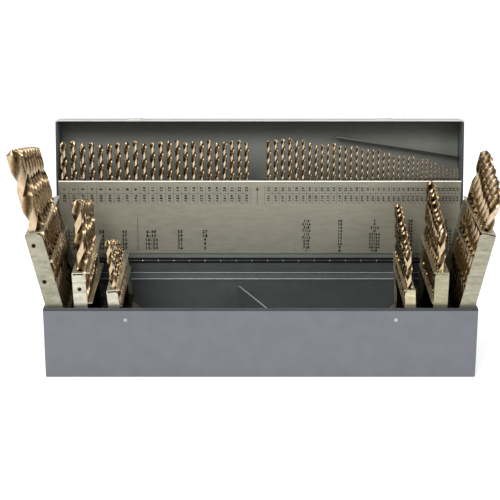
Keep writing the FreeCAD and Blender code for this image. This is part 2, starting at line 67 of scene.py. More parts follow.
def tones(dark, light):
    """The two ends of a mottled colour. Every surface lies between two, so that none is one flat tone."""
    return srgb(*dark), srgb(*light)


def material(name):
    mat = bpy.data.materials.new(name)
    mat.use_nodes = True
    return mat, mat.node_tree, mat.node_tree.nodes["Principled BSDF"]


def coordinates(tree, kind):
    return tree.nodes.new("ShaderNodeTexCoord").outputs[kind]


def noise(tree, scale, detail, stretch=(1, 1, 1)):
    mapping = tree.nodes.new("ShaderNodeMapping")
    mapping.inputs["Scale"].default_value = stretch
    texture = tree.nodes.new("ShaderNodeTexNoise")
    texture.inputs["Scale"].default_value = scale
    texture.inputs["Detail"].default_value = detail
    tree.links.new(coordinates(tree, "Object"), mapping.inputs["Vector"])
    tree.links.new(mapping.outputs["Vector"], texture.inputs["Vector"])
    return texture.outputs["Fac"]


def ramp(tree, source, stops):
    node = tree.nodes.new("ShaderNodeValToRGB")
    elements = node.color_ramp.elements
    elements[0].position, elements[0].color = stops[0]
    elements[1].position, elements[1].color = stops[-1]
    for position, color in stops[1:-1]:
        elements.new(position).color = color
    tree.links.new(source, node.inputs["Fac"])
    return node.outputs["Color"]


def mottled(tree, source, ends, start=0.3, end=0.7):
    """Colour that goes from the dark to the light tone with a noise."""
    return ramp(tree, source, [(start, ends[0]), (end, ends[1])])


def bump(tree, source, shader, strength, distance):
    node = tree.nodes.new("ShaderNodeBump")
    node.inputs["Strength"].default_value = strength
    node.inputs["Distance"].default_value = distance
    tree.links.new(source, node.inputs["Height"])
    tree.links.new(node.outputs["Normal"], shader.inputs["Normal"])


def map_range(tree, source, start, end, low, high):
    """Value that goes from low to high while the source goes from start to end, and no further."""
    node = tree.nodes.new("ShaderNodeMapRange")
    for name, value in (("From Min", start), ("From Max", end), ("To Min", low), ("To Max", high)):
        node.inputs[name].default_value = value
    tree.links.new(source, node.inputs["Value"])
    return node.outputs["Result"]


def rough_map(tree, source, shader, low, high):
    tree.links.new(map_range(tree, source, 0, 1, low, high), shader.inputs["Roughness"])


def math_node(tree, operation, a, b):
    node = tree.nodes.new("ShaderNodeMath")
    node.operation = operation
    for value, socket in zip((a, b), node.inputs):
        if isinstance(value, float):
            socket.default_value = value
        else:
            tree.links.new(value, socket)
    return node.outputs["Value"]


def blend(tree, mask, a, b):
    """Mix of two colours by a mask."""
    node = tree.nodes.new("ShaderNodeMix")
    node.data_type = "RGBA"
    tree.links.new(mask, node.inputs["Factor"])
    sockets = [socket for socket in node.inputs if socket.type == "RGBA"]
    for value, socket in zip((a, b), sockets):
        if isinstance(value, tuple):
            socket.default_value = value
        else:
            tree.links.new(value, socket)
    return [socket for socket in node.outputs if socket.type == "RGBA"][0]


# Zones of a surface. A zone is a list of bounds, and it lies where all of them hold.

FAR = 2.0  # a limit that no place on the case, in metres, and no normal reaches


def between(axis, low, high, blur):
    """Bound: from one place to another along an axis of the frame, with soft ends."""
    return ("Object", axis, low, high, blur)


def level(low, high=FAR, blur=0.2 * MM):
    """Bound: from one height to another."""
    return between("Z", low, high, blur)


def facing(axis, low, high, blur):
    """Bound: where the normal's share along an axis lies between two values."""
    return ("Normal", axis, low, high, blur)


def band(tree, kind, axis, low, high, blur):
    """Mask that is one within a bound and falls to zero over the blur outside it."""
    split = tree.nodes.new("ShaderNodeSeparateXYZ")
    tree.links.new(coordinates(tree, kind), split.inputs["Vector"])
    place = split.outputs[axis]
    rise = map_range(tree, place, low - blur, low, 0, 1)
    fall = map_range(tree, place, high + blur, high, 0, 1)
    return math_node(tree, "MULTIPLY", rise, fall)


def zone(tree, bounds):
    """Mask that is one where all bounds hold."""
    mask = 1.0
    for bound in bounds:
        mask = math_node(tree, "MULTIPLY", mask, band(tree, *bound))
    return mask


DEPTHS = level(-FAR, 50 * MM, blur=18 * MM)  # low down between the racks, where little light gets to
LOOKING_UP = facing("Z", 0.86, FAR, 0.06)
BENT_EDGE = facing("Z", 0.4, 0.8, 0.04)
RIGHT_EDGE = facing("X", 0.92, FAR, 0.04)
LEFT_EDGE = facing("X", -FAR, -0.92, 0.04)
SIDES_AND_BACK = facing("Y", -0.6, FAR, 0.1)
TOWARD_FRONT = facing("Y", -FAR, -0.6, 0.1)


# Surfaces

def painted(name, ends, zones=()):
    """Semi-gloss paint with a faint orange peel, and other tones within some zones."""
    mat, tree, shader = material(name)
    mottle = noise(tree, scale=60, detail=4)
    color = mottled(tree, mottle, ends)
    for bounds, zone_ends in zones:
        color = blend(tree, zone(tree, bounds), color, mottled(tree, mottle, zone_ends))
    tree.links.new(color, shader.inputs["Base Color"])
    bump(tree, noise(tree, scale=900, detail=2), shader, strength=0.12, distance=0.12 * MM)
    rough_map(tree, mottle, shader, low=0.36, high=0.46)
    return mat


BRIGHT_TOP = 0.92  # metallic value of a face that looks up
SPANGLE_SHARE = 0.16
# Painted shade low down on the sheets' sides.
LOW_SIDE_SHADE = srgb(62, 60, 52)


def galvanized(name, ends, metallic, rough, top, edge, gloss=0.6):
    """Zinc-plated sheet with a soft spangle.

    It is glossier on faces that look up, whose top tone is painted light on the rack sheets and painted shade
    on the panel; its bent and cut edges take a painted highlight, and low down on its sides it takes painted
    shade.
    """
    mat, tree, shader = material(name)
    spangle = tree.nodes.new("ShaderNodeTexVoronoi")
    spangle.inputs["Scale"].default_value = 420
    tree.links.new(coordinates(tree, "Object"), spangle.inputs["Vector"])
    streak = noise(tree, scale=90, detail=5, stretch=(1, 1, 4))
    speck = math_node(tree, "MULTIPLY", spangle.outputs["Distance"], SPANGLE_SHARE)
    grain = math_node(tree, "ADD", speck, streak)
    up = zone(tree, [LOOKING_UP])
    edge_highlight = zone(tree, [BENT_EDGE])
    for edge_bound in (RIGHT_EDGE, LEFT_EDGE):
        edge_highlight = math_node(tree, "MAXIMUM", edge_highlight, zone(tree, [edge_bound]))
    low_shade = zone(tree, [SIDES_AND_BACK, DEPTHS])
    color = blend(tree, up, mottled(tree, grain, ends, start=0.35, end=0.75), top)
    color = blend(tree, low_shade, blend(tree, edge_highlight, color, edge), LOW_SIDE_SHADE)
    tree.links.new(color, shader.inputs["Base Color"])
    extra = math_node(tree, "MULTIPLY", up, BRIGHT_TOP - metallic)
    tree.links.new(math_node(tree, "ADD", extra, metallic), shader.inputs["Metallic"])
    smoother = math_node(tree, "SUBTRACT", 1.0, math_node(tree, "MULTIPLY", up, 1.0 - gloss))
    roughness = math_node(tree, "MULTIPLY", map_range(tree, grain, 0, 1, *rough), smoother)
    tree.links.new(roughness, shader.inputs["Roughness"])
    bump(tree, streak, shader, strength=0.03, distance=0.2 * MM)
    return mat


TONE_LAYER = "tone"  # each drill point's brightness: high on the lands, low in the flutes, where it is oxide and painted shade
MOTTLE_SHARE = 0.4


def bronze(name):
    """Oxide-bronze tool steel: bright lands, flutes dark with oxide and painted shade, and painted shade low
    down.
    """
    mat, tree, shader = material(name)
    shader.inputs["Metallic"].default_value = 1.0
    tone = tree.nodes.new("ShaderNodeVertexColor")
    tone.layer_name = TONE_LAYER
    split = tree.nodes.new("ShaderNodeSeparateColor")
    tree.links.new(tone.outputs["Color"], split.inputs["Color"])
    mottle = noise(tree, scale=260, detail=4)
    shade = math_node(tree, "ADD", math_node(tree, "MULTIPLY", mottle, MOTTLE_SHARE), split.outputs["Red"])
    color = ramp(tree, shade, [(0.2, srgb(50, 38, 23)), (0.5, srgb(122, 100, 68)),
                               (0.8, srgb(182, 158, 126)), (1.0, srgb(214, 196, 168))])
    # Painted shade low down between the racks.
    color = blend(tree, zone(tree, [DEPTHS]), color, srgb(58, 46, 32))
    tree.links.new(color, shader.inputs["Base Color"])
    rough_map(tree, mottle, shader, low=0.16, high=0.26)
    return mat


def plain_metal(name, ends):
    mat, tree, shader = material(name)
    shader.inputs["Metallic"].default_value = 1.0
    mottle = noise(tree, scale=300, detail=3)
    tree.links.new(mottled(tree, mottle, ends), shader.inputs["Base Color"])
    rough_map(tree, mottle, shader, low=0.2, high=0.35)
    return mat


def ink(name, ends):
    mat, tree, shader = material(name)
    shader.inputs["Roughness"].default_value = 0.6
    tree.links.new(mottled(tree, noise(tree, scale=500, detail=2), ends), shader.inputs["Base Color"])
    return mat


# Zones of the painted pieces, from the boxes of the CAD pieces

def both_sides(x, half_width, blur):
    """Bounds of two like places, one on the left and one on the right."""
    return [between("X", middle - half_width, middle + half_width, blur) for middle in (-x, x)]


TRAY_LOW, TRAY_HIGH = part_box("tray_shell")
RIM = 2.5 * INCH
SHEET = 0.9 * MM
SIDE_SKIN = 0.6 * MM    # how deep the outer tone reaches round the sheet's edges, before the painted shade of the inside
FRONT_SKIN = 0.675 * MM
BACK_SKIN = 0.275 * MM
# Inside the tray the paint carries painted shade (the SHADE tones), since little light gets in.
TRAY_INSIDE = [between("X", TRAY_LOW.x + SIDE_SKIN, TRAY_HIGH.x - SIDE_SKIN, blur=0.3 * MM),
               between("Y", TRAY_LOW.y + FRONT_SKIN, TRAY_HIGH.y - BACK_SKIN, blur=0.3 * MM),
               level(TRAY_LOW.z + SIDE_SKIN)]
# Along the front hem the paint carries a painted dark reflection of the tray's inside.
HEM_DEPTH = 6.7 * MM
FRONT_HEM = [between("Y", -FAR, TRAY_LOW.y + HEM_DEPTH, blur=0.3 * MM), level(RIM - SHEET)]
# On the two snap dimples of the front wall: worn paint with a painted glint.
DIMPLE_X = 118.5 * MM
DIMPLE_HALF = 1.1 * MM
DIMPLE_BLUR = 0.8 * MM
DIMPLE_DEPTH = between("Y", TRAY_LOW.y + 0.275 * MM, TRAY_LOW.y + 0.875 * MM, blur=0.2 * MM)
DIMPLE_HEIGHT = level(RIM - 10.7 * MM, RIM - 8.5 * MM, DIMPLE_BLUR)
DIMPLES = [[DIMPLE_DEPTH, DIMPLE_HEIGHT, span] for span in both_sides(DIMPLE_X, DIMPLE_HALF, DIMPLE_BLUR)]

LEAF_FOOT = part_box("panel_hinge_tray_leaf")[0].z
# On the tray leaf: painted highlights on its lower edge and on its step, and painted shade at its top under
# the hem.
LEAF_LOWER_EDGE = [level(LEAF_FOOT - 0.5 * MM, LEAF_FOOT + 0.7 * MM)]
LEAF_FLAT = [level(LEAF_FOOT + 0.8 * MM, LEAF_FOOT + 6.5 * MM)]
LEAF_STEP = [level(LEAF_FOOT + 6.5 * MM, LEAF_FOOT + 7.3 * MM)]
LEAF_UNDER_HEM = [level(LEAF_FOOT + 16.8 * MM)]

DIVIDER_LOW, DIVIDER_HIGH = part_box("center_divider")
# Painted highlight along the divider's top edge.
DIVIDER_TOP = [level(DIVIDER_HIGH.z - 0.7 * MM), between("X", DIVIDER_LOW.x + 9 * MM, FAR, blur=0.2 * MM)]

LID_LOW, LID_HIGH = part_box("lid_shell")
LID_EDGE = 2.0 * MM
# Painted shadow of the lid's top flange, fading down the inside of the lid.
LID_ROOF = [TOWARD_FRONT, level(LID_HIGH.z - 6.05 * MM, blur=26 * MM)]
# Painted shade on the lid's left and right hem edges that face the front.
LID_RIGHT_EDGE = [TOWARD_FRONT, between("X", LID_HIGH.x - LID_EDGE, FAR, blur=0.2 * MM)]
LID_LEFT_EDGE = [TOWARD_FRONT, between("X", -FAR, LID_LOW.x + LID_EDGE, blur=0.2 * MM)]
# Painted highlight on the front of the lid's free hem edge.
LID_FREE_EDGE = [TOWARD_FRONT, level(LID_HIGH.z - 3.35 * MM),
                 between("Y", 82.0 * MM, 83.8 * MM, blur=0.2 * MM)]
# On the lid's snap bumps: worn paint with a painted highlight.
BUMP_X = 117.2 * MM
BUMP_HALF = 7.6 * MM
BUMP_BLUR = 0.3 * MM
BUMP_DEPTH = between("Y", 84.0 * MM, 89.6 * MM, BUMP_BLUR)
BUMP_HEIGHT = level(LID_HIGH.z - 2.55 * MM)
BUMPS = [[BUMP_DEPTH, BUMP_HEIGHT, span] for span in both_sides(BUMP_X, BUMP_HALF, BUMP_BLUR)]

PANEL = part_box("number_panel")
STRIP_SHINE = [level(PANEL[0].z - 0.6 * MM, PANEL[0].z)]


# Tones and materials

BLUE_GREY = tones((108, 109, 117), (115, 116, 124))
DIVIDER_TOP_HIGHLIGHT = tones((150, 154, 150), (160, 164, 160))
# SHADE: painted shade of the tray's inside and of the pieces within it.
SHADE = tones((78, 82, 81), (85, 89, 88))
HEM_DARK_REFLECTION = tones((34, 40, 42), (46, 52, 54))
SHADOW_DARK = tones((20, 21, 20), (30, 31, 29))
WEAR_AND_GLINT = tones((168, 168, 162), (196, 196, 190))
LID_GREY = tones((109, 112, 104), (115, 118, 110))
ROOF_SHADOW = tones((28, 29, 25), (34, 35, 31))
SIDE_EDGE_SHADE = tones((44, 52, 58), (54, 62, 68))
FREE_EDGE_HIGHLIGHT = tones((196, 198, 194), (206, 208, 204))

PAINT = painted("blue_grey_paint", BLUE_GREY,
                [(TRAY_INSIDE, SHADE), (FRONT_HEM, HEM_DARK_REFLECTION)] + [(dimple, WEAR_AND_GLINT) for dimple in DIMPLES])
LEAF_PAINT = painted("tray_leaf_paint", SHADE,
                     [(LEAF_FLAT, tones((98, 104, 106), (106, 112, 114))),
                      (LEAF_STEP, tones((188, 192, 188), (198, 202, 198))),
                      (LEAF_LOWER_EDGE, tones((206, 210, 206), (216, 220, 216))),
                      (LEAF_UNDER_HEM, SHADOW_DARK)])
DIVIDER_PAINT = painted("divider_paint", SHADE, [(DIVIDER_TOP, DIVIDER_TOP_HIGHLIGHT)])
LID_PAINT = painted("lid_paint", LID_GREY,
                    [(LID_ROOF, ROOF_SHADOW), (LID_RIGHT_EDGE, SIDE_EDGE_SHADE), (LID_LEFT_EDGE, SIDE_EDGE_SHADE),
                     (LID_FREE_EDGE, FREE_EDGE_HIGHLIGHT)] + [(lid_bump, WEAR_AND_GLINT) for lid_bump in BUMPS])
STRIP_PAINT = painted("lid_strip_paint", tones((100, 102, 96), (108, 110, 103)))
DARK_PAINT = painted("dark_leaf_paint", tones((116, 123, 117), (126, 133, 127)),
                     [(STRIP_SHINE, tones((200, 200, 186), (210, 210, 196)))])
SHADE_BLACK = painted("painted_shade_black", SHADOW_DARK)
# The panel's faces that look up take a painted shade, and its edges a painted highlight.
PANEL_ZINC = galvanized("zinc_panel", tones((148, 145, 130), (160, 157, 141)),
                        metallic=0.35, rough=(0.4, 0.55),
                        top=srgb(120, 120, 112), edge=srgb(240, 238, 224), gloss=0.4)
ZINC = galvanized("zinc_sheet", tones((156, 154, 138), (204, 201, 183)), metallic=0.7, rough=(0.28, 0.42),
                  top=srgb(206, 202, 184), edge=srgb(236, 234, 218))
# A darker copy of the zinc sheet: painted shade for the outer racks.
SHADED_OUTER_ZINC = galvanized("shaded_outer_zinc_sheet", tones((130, 128, 110), (168, 164, 144)),
                       metallic=0.6, rough=(0.3, 0.45),
                       top=srgb(200, 196, 178), edge=srgb(226, 224, 206))
WARM_ZINC = galvanized("warm_zinc_sheet", tones((162, 153, 124), (206, 197, 164)),
                       metallic=0.7, rough=(0.28, 0.42),
                       top=srgb(206, 198, 172), edge=srgb(236, 232, 208))
SHADED_ZINC = galvanized("shaded_zinc_sheet", tones((134, 129, 104), (170, 165, 136)), metallic=0.65,
                         rough=(0.28, 0.42), top=srgb(204, 198, 172), edge=srgb(230, 226, 202))
BRONZE = bronze("bronze_drill")
STEEL = plain_metal("bright_pin", tones((150, 150, 148), (190, 190, 186)))
INK = ink("chart_ink", tones((20, 20, 19), (34, 33, 31)))

SLOT_LOOKS = {
    "painted_steel": PAINT,
    "galvanized_steel": ZINC,
    "pin_steel": STEEL,
    "bronze_tool_steel": BRONZE,
}
NODE_LOOKS = {
    "lid_shell": LID_PAINT,
    "lid_stop_strip": STRIP_PAINT,
    "center_divider": DIVIDER_PAINT,
    "panel_hinge_tray_leaf": LEAF_PAINT,
    "number_panel": PANEL_ZINC,
    "left_outer_channel": SHADED_OUTER_ZINC,
    "right_outer_channel": SHADED_OUTER_ZINC,
    "right_outer_guide": SHADED_OUTER_ZINC,
    "right_middle_channel": SHADED_ZINC,
    "right_inner_channel": WARM_ZINC,
}
for part in frame["record"]["subparts"]:
    node = part["node"]
    slots = frame["nodes"][node].data.materials
    slots.clear()
    slots.append(NODE_LOOKS.get(node, SLOT_LOOKS[part["material_slot"]]))


# Meshes

class Shape:
    """Points and faces of a piece that is being put together."""

    def __init__(self):
        self.verts = []
        self.faces = []

    def add(self, verts, faces):
        base = len(self.verts)
        self.verts += verts
        self.faces += [tuple(base + i for i in face) for face in faces]

    def add_box(self, low, high):
        verts = [(x, y, z) for x in (low[0], high[0]) for y in (low[1], high[1]) for z in (low[2], high[2])]
        self.add(verts, [(0, 1, 3, 2), (4, 6, 7, 5), (0, 4, 5, 1), (2, 3, 7, 6), (0, 2, 6, 4), (1, 5, 7, 3)])

    def add_barrel(self, start, end, y, z, radius, sides=14):
        """Round bar along the X axis."""
        angles = [TURN * step / sides for step in range(sides)]
        verts = [(x, y + radius * math.cos(angle), z + radius * math.sin(angle))
                 for x in (start, end) for angle in angles]
        rounds = [(i, (i + 1) % sides, sides + (i + 1) % sides, sides + i) for i in range(sides)]
        self.add(verts, rounds + [tuple(reversed(range(sides))), tuple(range(sides, 2 * sides))])


def mesh_object(name, shape, mat, smooth=False):
    mesh = bpy.data.meshes.new(name)
    mesh.from_pydata(shape.verts, [], shape.faces)
    mesh.materials.append(mat)
    mesh.update()
    if smooth:
        for polygon in mesh.polygons:
            polygon.use_smooth = True
    obj = bpy.data.objects.new(name, mesh)
    bpy.context.scene.collection.objects.link(obj)
    return obj


# Fluted drills in place of the plain bars

WELD_DIGITS = 7  # corners that are alike to this many decimals of a metre are one
ROUND_ERROR = 0.001 * MM


def corner_sets(obj):
    """Corner points of each separate solid of a CAD node."""
    keys = {}
    points = []
    index = []
    for vertex in obj.data.vertices:
        key = tuple(round(c, WELD_DIGITS) for c in vertex.co)
        if key not in keys:
            keys[key] = len(points)
            points.append(Vector(vertex.co))
        index.append(keys[key])
    parent = list(range(len(points)))

    def root(i):
        while parent[i] != i:
            parent[i] = parent[parent[i]]
            i = parent[i]
        return i

    for polygon in obj.data.polygons:
        ids = [index[v] for v in polygon.vertices]
        for other in ids[1:]:
            parent[root(other)] = root(ids[0])
    groups = {}
    for i, point in enumerate(points):
        groups.setdefault(root(i), []).append(point)
    return list(groups.values())


def drill_axis(points, sides):
    """Foot, tip and radius of a pointed bar from its corners.

    The corners farthest from the tip are the foot's. They lie on a circle, and no corner is close to the tip.
    """
    middle = sum(points, Vector()) / len(points)
    spread = sorted(points, key=lambda p: (p - middle).length)
    best = None
    longest = 0.0
    for tip in spread[-(sides + 1):]:
        far = sorted(points, key=lambda p: -(p - tip).length)[:sides]
        foot = sum(far, Vector()) / sides
        radii = [(p - foot).length for p in far]
        error = max(radii) - min(radii)
        near = min((p - tip).length for p in points if p is not tip)
        if error < ROUND_ERROR and near > min(radii) and (tip - foot).length > longest:
            longest = (tip - foot).length
            best = (foot, tip, sum(radii) / sides)
    return best


FLUTED_SHARES = ((0.0, 0.45), (INCH / 8, 0.62), (INCH / 4, 0.69), (INCH / 2, 0.75))


def flute_length(diameter, length):
    """Length of the fluted part of a jobber drill, whose share of the whole grows with the diameter."""
    for (thin, low), (thick, high) in zip(FLUTED_SHARES, FLUTED_SHARES[1:]):
        if diameter < thick:
            break
    return length * (low + (high - low) * (diameter - thin) / (thick - thin))


AROUND = 20
RINGS_PER_TURN = 18
LEAST_RINGS = 6
POINT_HALF_ANGLE = math.radians(59)
HELIX_ANGLE = math.radians(29)
FLUTE_HALF = math.radians(54)
FLUTE_DEPTH = 0.5       # share of the radius
FLUTE_SHAPE = 0.8
RUN_OUT = 0.25          # share of the full depth at the flute's first ring
CHAMFER = 0.12          # share of the radius, or of the point's length
BUTT_SCALE = 0.93
TIP_SCALE = 0.14
LAND_TONE = 0.64
FLUTE_TONE = 0.02
TIP_TONE = 0.5
FRONT = Vector((0, -1, 0))


def drill_rings(radius, length, lead):
    """Height, flute depth and scale of each ring of points, from the butt to the point."""
    point = radius / math.tan(POINT_HALF_ANGLE)
    shoulder = length - point
    start = length - flute_length(2 * radius, length)
    rings = [(0.0, 0.0, BUTT_SCALE), (radius * CHAMFER, 0.0, 1.0),
             (start - radius, 0.0, 1.0), (start, RUN_OUT, 1.0)]
    count = max(LEAST_RINGS, int(math.ceil((shoulder - start) / lead * RINGS_PER_TURN)))
    for step in range(1, count + 1):
        z = start + (shoulder - start) * step / count
        rings.append((z, min(1.0, RUN_OUT + (z - start) / (2 * radius)), 1.0))
    rings.append((length - point * CHAMFER, 1.0, TIP_SCALE))
    return rings


def flute_dip(angle):
    """How deep in one of the two flutes a place around the drill lies, from 0 to 1."""
    off = abs((angle + math.pi / 2) % math.pi - math.pi / 2)
    if off >= FLUTE_HALF:
        return 0.0
    return math.cos(math.pi / 2 * off / FLUTE_HALF) ** FLUTE_SHAPE


def drill_faces(ring_count):
    """Faces over the rings of points, the flat butt, and the cone to the tip, which is the last point."""
    faces = []
    for ring in range(ring_count - 1):
        for step in range(AROUND):
            a = ring * AROUND + step
            b = ring * AROUND + (step + 1) % AROUND
            faces.append((a, b, b + AROUND, a + AROUND))
    faces.append(tuple(reversed(range(AROUND))))
    top = (ring_count - 1) * AROUND
    for step in range(AROUND):
        faces.append((top + step, top + (step + 1) % AROUND, ring_count * AROUND))
    return faces


def add_drill(shape, point_tones, foot, tip, radius, turn):
    axis = (tip - foot).normalized()
    length = (tip - foot).length
    side = axis.orthogonal().normalized()
    other = axis.cross(side)
    facing_front = math.atan2(FRONT.dot(other), FRONT.dot(side))
    lead = TURN * radius / math.tan(HELIX_ANGLE)
    rings = drill_rings(radius, length, lead)
    verts = []
    for z, depth, scale in rings:
        spin = facing_front + turn + TURN * (z - length) / lead
        for step in range(AROUND):
            around = TURN * step / AROUND
            dip = flute_dip(around) * depth
            reach = radius * scale * (1 - FLUTE_DEPTH * dip)
            out = side * (reach * math.cos(around + spin)) + other * (reach * math.sin(around + spin))
            verts.append(tuple(foot + axis * z + out))
            point_tones.append(LAND_TONE - (LAND_TONE - FLUTE_TONE) * dip)
    verts.append(tuple(tip))
    point_tones.append(TIP_TONE)
    shape.add(verts, drill_faces(len(rings)))


NUMBER_SIDES = 6        # sides of the plain bars in the number row
RACK_SIDES = 8          # and in the racks
RACK_TURN = 0.9         # the rack drills' flutes stand nearly alike, in radians
RACK_SPREAD = 0.75
SHARP_ANGLE = math.radians(50)
BODY_OF = {node: body for body, nodes in frame["record"]["behaviour"]["bodies"].items() for node in nodes}
DRILL_NODES = [part["node"] for part in frame["record"]["subparts"]
               if part["material_slot"] == "bronze_tool_steel"]
number_spots = []
for node in DRILL_NODES:
    in_panel = node.startswith("number")
    sides = NUMBER_SIDES if in_panel else RACK_SIDES
    drills = [drill_axis(points, sides) for points in corner_sets(frame["nodes"][node])]
    if in_panel:
        drills.sort(key=lambda drill: drill[0].x)
        number_spots += [(foot.x, radius) for foot, tip, radius in drills]
    shape = Shape()
    point_tones = []
    for foot, tip, radius in drills:
        turn = random.uniform(0, math.pi)
        if not in_panel:
            turn = RACK_TURN + RACK_SPREAD * (turn / math.pi - 0.5)
        add_drill(shape, point_tones, foot, tip, radius, turn)
    piece = mesh_object(node + "_fluted", shape, BRONZE, smooth=True)
    layer = piece.data.color_attributes.new(TONE_LAYER, "FLOAT_COLOR", "POINT")
    for i, tone in enumerate(point_tones):
        layer.data[i].color = (tone, tone, tone, 1.0)
    sharp = piece.modifiers.new("edges", "EDGE_SPLIT")
    sharp.split_angle = SHARP_ANGLE
    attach(piece, BODY_OF[node])
    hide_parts(node)


# Panel hinge with its fine barrels, in place of the plain leaf

LEAF_LOW, LEAF_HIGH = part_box("panel_hinge_panel_leaf")
PIN_LOW, PIN_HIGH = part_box("panel_hinge_pin")
PIN_Y = (PIN_LOW.y + PIN_HIGH.y) / 2
PIN_Z = (PIN_LOW.z + PIN_HIGH.z) / 2
PIN_RADIUS = 0.55 * MM
BARREL_RADIUS = 1.1 * MM
DOT_RADIUS = BARREL_RADIUS + 0.02 * MM
DOT_HALF = 0.4 * MM     # half of the bright dot between two barrels
DOT_PITCH = 14.55 * MM  # as in the photo, before it is fitted to the leaf's length
LEAF_FRONT = LEAF_HIGH.y - 0.8 * MM
NECK_Z = 68 * MM        # where the leaf around the barrels, black with painted shade, ends and the painted strip begins

count = int((LEAF_HIGH.x - LEAF_LOW.x) / DOT_PITCH)
pitch = (LEAF_HIGH.x - LEAF_LOW.x) / count
strip = Shape()
strip.add_box((LEAF_LOW.x, LEAF_FRONT, NECK_Z), tuple(LEAF_HIGH))
rod = Shape()
rod.add_barrel(PIN_LOW.x, PIN_HIGH.x, PIN_Y, PIN_Z, PIN_RADIUS)
barrels = Shape()
for index in range(count):
    left = LEAF_LOW.x + index * pitch
    barrels.add_box((left, LEAF_FRONT, PIN_Z + BARREL_RADIUS), (left + pitch, LEAF_HIGH.y, NECK_Z))
    barrels.add_barrel(left + DOT_HALF, left + pitch - DOT_HALF, PIN_Y, PIN_Z, BARREL_RADIUS)
    if index:
        rod.add_barrel(left - DOT_HALF, left + DOT_HALF, PIN_Y, PIN_Z, DOT_RADIUS)


def hinge_piece(name, shape, mat, body, node=None):
    piece = mesh_object(name, shape, mat)
    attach(piece, body)
    if node:
        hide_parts(node)


hinge_piece("panel_hinge_strip", strip, DARK_PAINT, "number_panel_body",
            node="panel_hinge_panel_leaf")
# The barrels and the leaf around them are black: painted shade in the gap under the panel.
hinge_piece("panel_hinge_barrels", barrels, SHADE_BLACK, "number_panel_body")
hinge_piece("panel_hinge_rod", rod, STEEL, "case", node="panel_hinge_pin")


# Characters and lines of the chart

PRINT_Y = PANEL[0].y - 0.06 * MM  # just in front of the panel's face
EM = 1.35               # font size over the height of a digit
DIGIT_MIDDLE = 0.35     # half the height of a digit, in font sizes like all below
BOLD = 0.05             # how far each of the two strikes lies off the middle
THICKEN = 0.03
PITCH = 0.7             # step from one digit to the next
TABLE_PITCH = 0.68
NARROW = {".": 0.4, "-": 0.5, "/": 0.5}
glyphs = {}
chart_shape = Shape()


def glyph(char):
    """Flat mesh of one printed character, one unit high, struck twice to make it bold."""
    if char not in glyphs:
        curve = bpy.data.curves.new("glyph", "FONT")
        curve.body = char
        curve.size = 1.0
        curve.resolution_u = 2
        curve.offset = THICKEN
        obj = bpy.data.objects.new("glyph", curve)
        bpy.context.scene.collection.objects.link(obj)
        bpy.context.view_layer.update()
        evaluated = obj.evaluated_get(bpy.context.evaluated_depsgraph_get())
        mesh = bpy.data.meshes.new_from_object(evaluated)
        points = [(v.co.x, v.co.y) for v in mesh.vertices]
        polygons = [tuple(p.vertices) for p in mesh.polygons]
        bpy.data.objects.remove(obj)
        bpy.data.curves.remove(curve)
        bpy.data.meshes.remove(mesh)
        across = [point[0] for point in points]
        middle = (min(across) + max(across)) / 2
        twice = [(x - middle + shift, y + shift) for shift in (-BOLD, BOLD) for x, y in points]
        second = [tuple(i + len(points) for i in polygon) for polygon in polygons]
        glyphs[char] = (twice, polygons + second)
    return glyphs[char]


def put_text(text, x, z, height, upright=True, pitch=PITCH):
    """Text centred on a point of the panel's face; turned text reads upwards."""
    size = height * EM
    steps = [NARROW.get(char, pitch) * size for char in text]
    place = -sum(steps) / 2
    for char, step in zip(text, steps):
        points, polygons = glyph(char)
        verts = []
        for glyph_x, glyph_y in points:
            along = place + step / 2 + glyph_x * size
            up = (glyph_y - DIGIT_MIDDLE) * size
            if upright:
                verts.append((x + along, PRINT_Y, z + up))
            else:
                verts.append((x - up, PRINT_Y, z + along))
        chart_shape.add(verts, polygons)
        place += step


def put_bar(x0, z0, x1, z1):
    corners = ((x0, z0), (x1, z0), (x1, z1), (x0, z1))
    chart_shape.add([(x, PRINT_Y, z) for x, z in corners], [(0, 1, 2, 3)])


def upright_line(x, foot, top, half):
    put_bar(x - half, foot, x + half, top)


# The photo's pixels on the panel's face, for places measured in the photo

PHOTO_SIZE = 500
AT_MIDDLE_X = -9.3 * MM
AT_MIDDLE_Z = 76 * MM
PIXEL_ACROSS = 0.9399 * MM
PIXEL_UP = 0.99 * MM


def px_x(px):
    return AT_MIDDLE_X + (px - PHOTO_SIZE / 2) * PIXEL_ACROSS


def px_z(py):
    return AT_MIDDLE_Z - (py - PHOTO_SIZE / 2) * PIXEL_UP


# Top rows of the chart: a cell with number and size, in thousandths of an inch, below each number drill

DECIMALS = """228 221 213 209 205 204 201 199 196 193 191 189 185 182 180 177 173 169 166 161 159 157 154
152 149 147 144 140 136 128 120 116 113 111 110 106 104 101 099 098 096 093 089 086 082 081 078 076 073
070 067 063 059 055 052 046 043 042 041 040""".split()
NUMBER_ROW = px_z(189.2)
DECIMAL_ROW = px_z(198.8)
CELL_TOP = px_z(186.3)
CELL_LINE = px_z(193.4)
CELL_FOOT = px_z(203.8)
HAIRLINE = 0.13 * MM    # half thickness
NUMBER_HEIGHT = 2.7 * MM
DECIMAL_HEIGHT = 2.6 * MM
SHRINKS = ((24, 1.0), (40, 0.86), (61, 0.74))  # scale of the digits below each number
FIRST_MARGIN = 3.8 * MM
LAST_MARGIN = 2.4 * MM
LAST_BEFORE_GAP = 23    # the spare hole comes after this drill
MARGIN_BEFORE_GAP = 4.2 * MM
MARGIN_AFTER_GAP = 3.5 * MM

